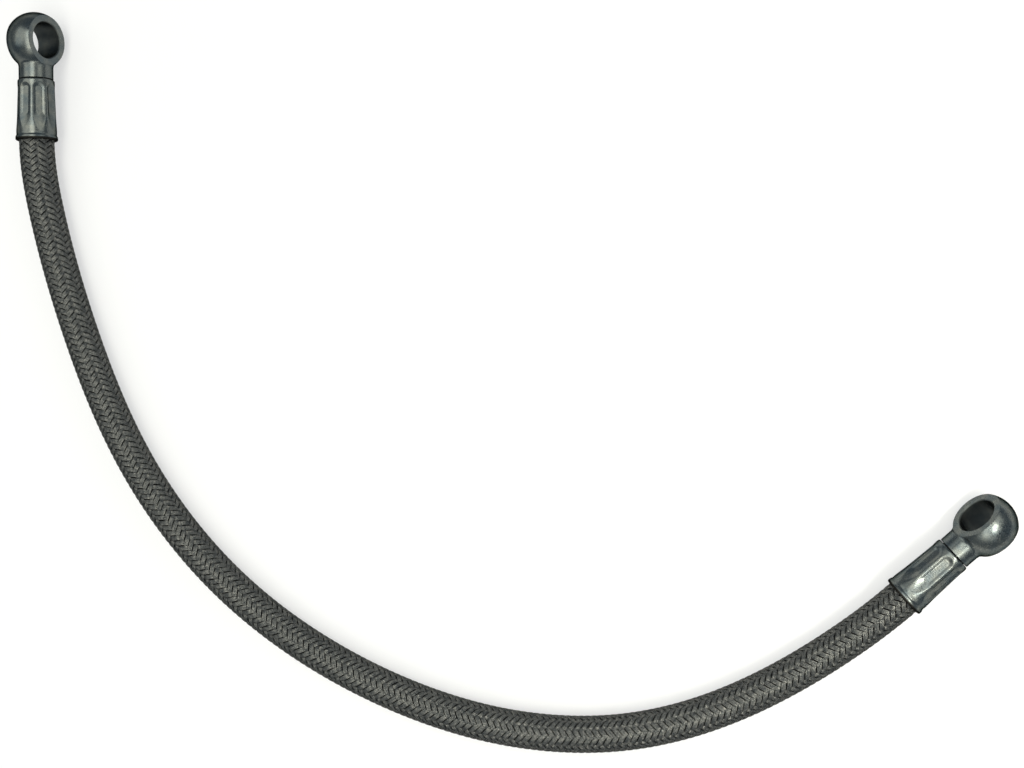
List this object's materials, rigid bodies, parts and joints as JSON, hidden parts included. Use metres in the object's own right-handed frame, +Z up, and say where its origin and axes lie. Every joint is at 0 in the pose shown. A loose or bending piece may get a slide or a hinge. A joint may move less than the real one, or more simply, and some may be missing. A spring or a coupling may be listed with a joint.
{
  "type": "diesel fuel hose",
  "caption": "Rubber fuel hose under a steel wire braid, bent in an easy arc, with a crimped ferrule and a banjo eye for a hollow bolt at each end.",
  "frame": {"origin": "bottom centre of the box round the end fittings, on the floor that the hose lies on", "axes": "+X runs from the eye of end a towards the eye of end b, along the longest side of the box, and +Z is up from the floor"},
  "size_m": [0.3844, 0.2871, 0.0228],
  "materials": {
    "zinc_plated_steel": "satin blue zinc plating on turned steel",
    "zinc_plated_sleeve": "satin blue zinc plating, pressed by the crimping jaws",
    "steel_wire_braid": "braided fine steel wire, dull and slightly oily",
    "black_rubber": "matt"
  },
  "bodies": {
    "root": {"banjo_a": "zinc_plated_steel", "banjo_b": "zinc_plated_steel", "ferrule_a": "zinc_plated_sleeve", "ferrule_b": "zinc_plated_sleeve", "hose_braid": "steel_wire_braid", "hose_liner": "black_rubber"}
  },
  "joints": []
}
